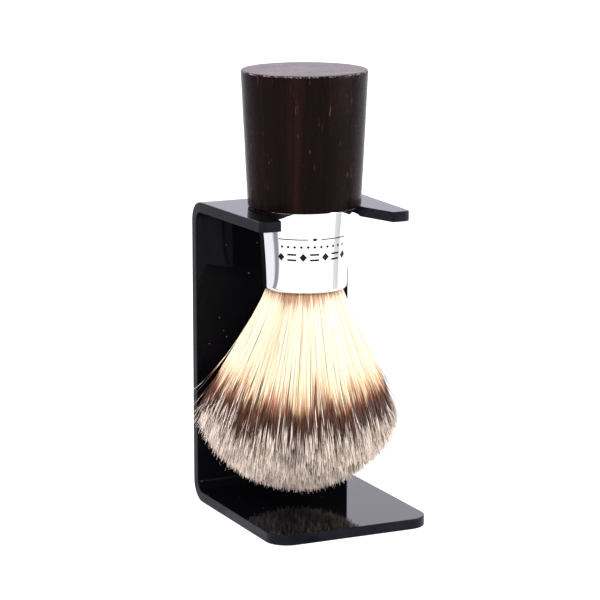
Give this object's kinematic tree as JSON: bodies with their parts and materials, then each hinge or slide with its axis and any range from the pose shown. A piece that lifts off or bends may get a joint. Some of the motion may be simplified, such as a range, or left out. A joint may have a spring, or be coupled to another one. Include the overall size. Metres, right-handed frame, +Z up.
{
  "type": "shaving brush stand",
  "caption": "Bent acrylic C-shaped stand with an open slot in its upper plate, holding a wooden-handled shaving brush knot-down.",
  "frame": {"origin": "on the table plane, under the middle of the assembly's bounding box", "axes": "+Z up, -Y towards the open front of the slot, +X to the right seen from the front"},
  "size_m": [0.059, 0.058, 0.1295],
  "materials": {
    "black_acrylic": "polished black cast acrylic",
    "dark_wood": "satin lacquered dark open-pored wood",
    "ferrule_chrome": "polished chrome plate",
    "screw_steel": "plain zinc-plated steel",
    "plug_resin": "set epoxy resin",
    "binding_thread": "wound cotton thread",
    "knot_fibre": "badger-style fibres, cream with a dark band and pale tips"
  },
  "bodies": {
    "stand": {"bent_acrylic_stand": "black_acrylic"},
    "brush": {"wood_handle": "dark_wood", "chrome_ferrule": "ferrule_chrome", "ferrule_screw": "screw_steel", "knot_resin_plug": "plug_resin", "knot_binding": "binding_thread", "fibre_knot": "knot_fibre"}
  },
  "joints": [
    {"name": "brush_slide_out", "type": "slide", "parent": "stand", "child": "brush", "axis": [0, -1, 0], "range_m": [0, 0.065]}
  ]
}
